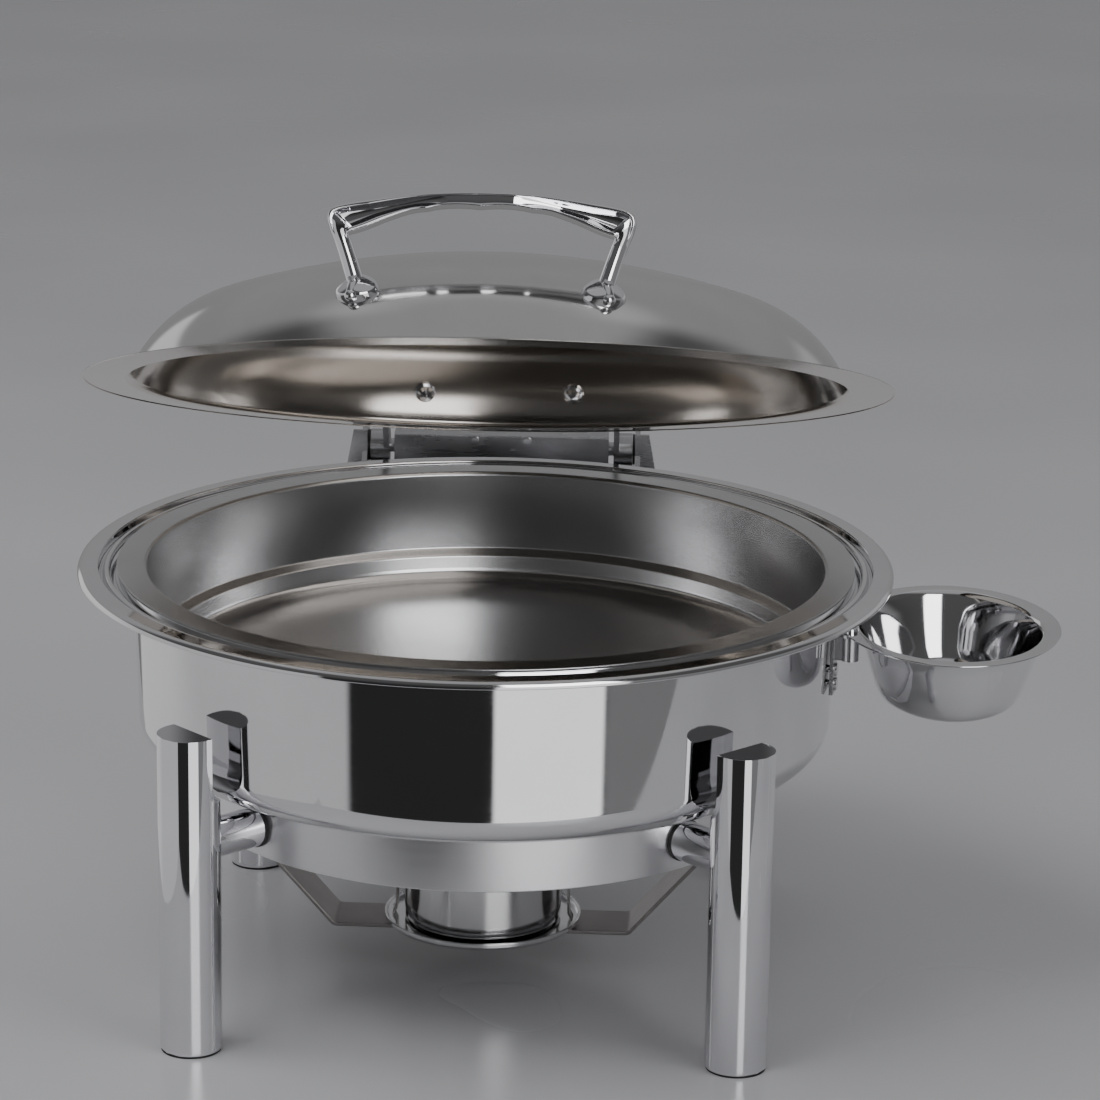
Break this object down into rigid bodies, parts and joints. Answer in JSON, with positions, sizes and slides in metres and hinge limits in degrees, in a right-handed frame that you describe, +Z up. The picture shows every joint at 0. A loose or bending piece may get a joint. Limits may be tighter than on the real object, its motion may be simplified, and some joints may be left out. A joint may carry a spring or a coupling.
{
  "type": "chafing dish",
  "caption": "Round stainless chafing dish with hinged dome lid, water pan, food pan, leg stand, fuel burner and side rest bowl.",
  "frame": {"origin": "on the table, midway between the feet, on the axis of the round pan", "axes": "+Z up; -Y is the front, the side the lid's handle is on; the hinge is at the back, on +Y; the side bowl is on +X"},
  "size_m": [0.517, 0.477, 0.4435],
  "materials": {
    "mirror_steel": "mirror polished stainless sheet",
    "satin_steel": "satin brushed stainless sheet",
    "lid_steel": "polished stainless sheet, satin inside",
    "chrome_tube": "bright polished tube",
    "ring_steel": "bright rolled band",
    "strap_steel": "mill finish strip",
    "cast_chrome": "cast and chrome plated",
    "hinge_steel": "satin pressed sheet",
    "hinge_black": "dark moulded friction parts",
    "bowl_steel": "polished stainless sheet",
    "fastener_steel": "bright fasteners",
    "gasket_black": "black rubber",
    "burner_steel": "drawn stainless cup",
    "fuel_gel": "gelled fuel"
  },
  "bodies": {
    "stand": {"burner_clips": "strap_steel", "burner_saucer": "strap_steel", "burner_strap": "strap_steel", "foot_glides": "gasket_black", "leg_end_plugs": "chrome_tube", "leg_front_left": "chrome_tube", "leg_front_right": "chrome_tube", "leg_rear_left": "chrome_tube", "leg_rear_right": "chrome_tube", "ring_stubs": "chrome_tube", "saucer_rivet": "fastener_steel", "stand_ring": "ring_steel", "strap_screws": "fastener_steel", "stub_bolts": "fastener_steel", "stub_gaskets": "gasket_black", "stub_washers": "fastener_steel"},
    "pan": {"water_pan": "mirror_steel", "food_pan": "satin_steel", "hinge_base_bracket": "hinge_steel", "hinge_rivet_left": "fastener_steel", "hinge_rivet_right": "fastener_steel", "hinge_pin": "hinge_steel", "friction_washers": "hinge_black", "hinge_housing": "hinge_steel", "housing_screws": "fastener_steel", "damper_barrel": "hinge_black", "bowl_bracket": "hinge_steel", "bowl_bracket_rivets": "fastener_steel"},
    "lid": {"lid_dome": "lid_steel", "lid_handle": "cast_chrome", "lid_hinge_bracket": "hinge_steel", "bracket_bolt_left": "fastener_steel", "bracket_bolt_right": "fastener_steel", "acorn_nut_left": "fastener_steel", "acorn_nut_right": "fastener_steel", "handle_screw_left": "fastener_steel", "handle_screw_right": "fastener_steel"},
    "bowl": {"side_bowl": "bowl_steel", "bowl_arm": "hinge_steel", "bowl_pin": "fastener_steel"},
    "burner": {"burner_cup": "burner_steel", "fuel_charge": "fuel_gel", "burner_cover": "burner_steel", "damper_rivet": "fastener_steel"},
    "damper": {"burner_damper": "burner_steel"}
  },
  "joints": [
    {"name": "pan_lift", "type": "slide", "parent": "stand", "child": "pan", "axis": [0, 0, 1], "range_m": [0, 0.06]},
    {"name": "lid_hinge", "type": "hinge", "parent": "pan", "child": "lid", "pos_m": [0, 0.249, 0.222], "axis": [-1, 0, 0], "range_deg": [-20.2, 60]},
    {"name": "bowl_swivel", "type": "hinge", "parent": "pan", "child": "bowl", "pos_m": [0.1915, -0.038, 0.19], "axis": [0, 0, 1], "range_deg": [-40, 2]},
    {"name": "burner_lift", "type": "slide", "parent": "stand", "child": "burner", "axis": [0, 0, 1], "range_m": [0, 0.035]},
    {"name": "damper_swing", "type": "hinge", "parent": "burner", "child": "damper", "pos_m": [0, 0.032, 0.089], "axis": [0, 0, 1], "range_deg": [0, 100]}
  ]
}
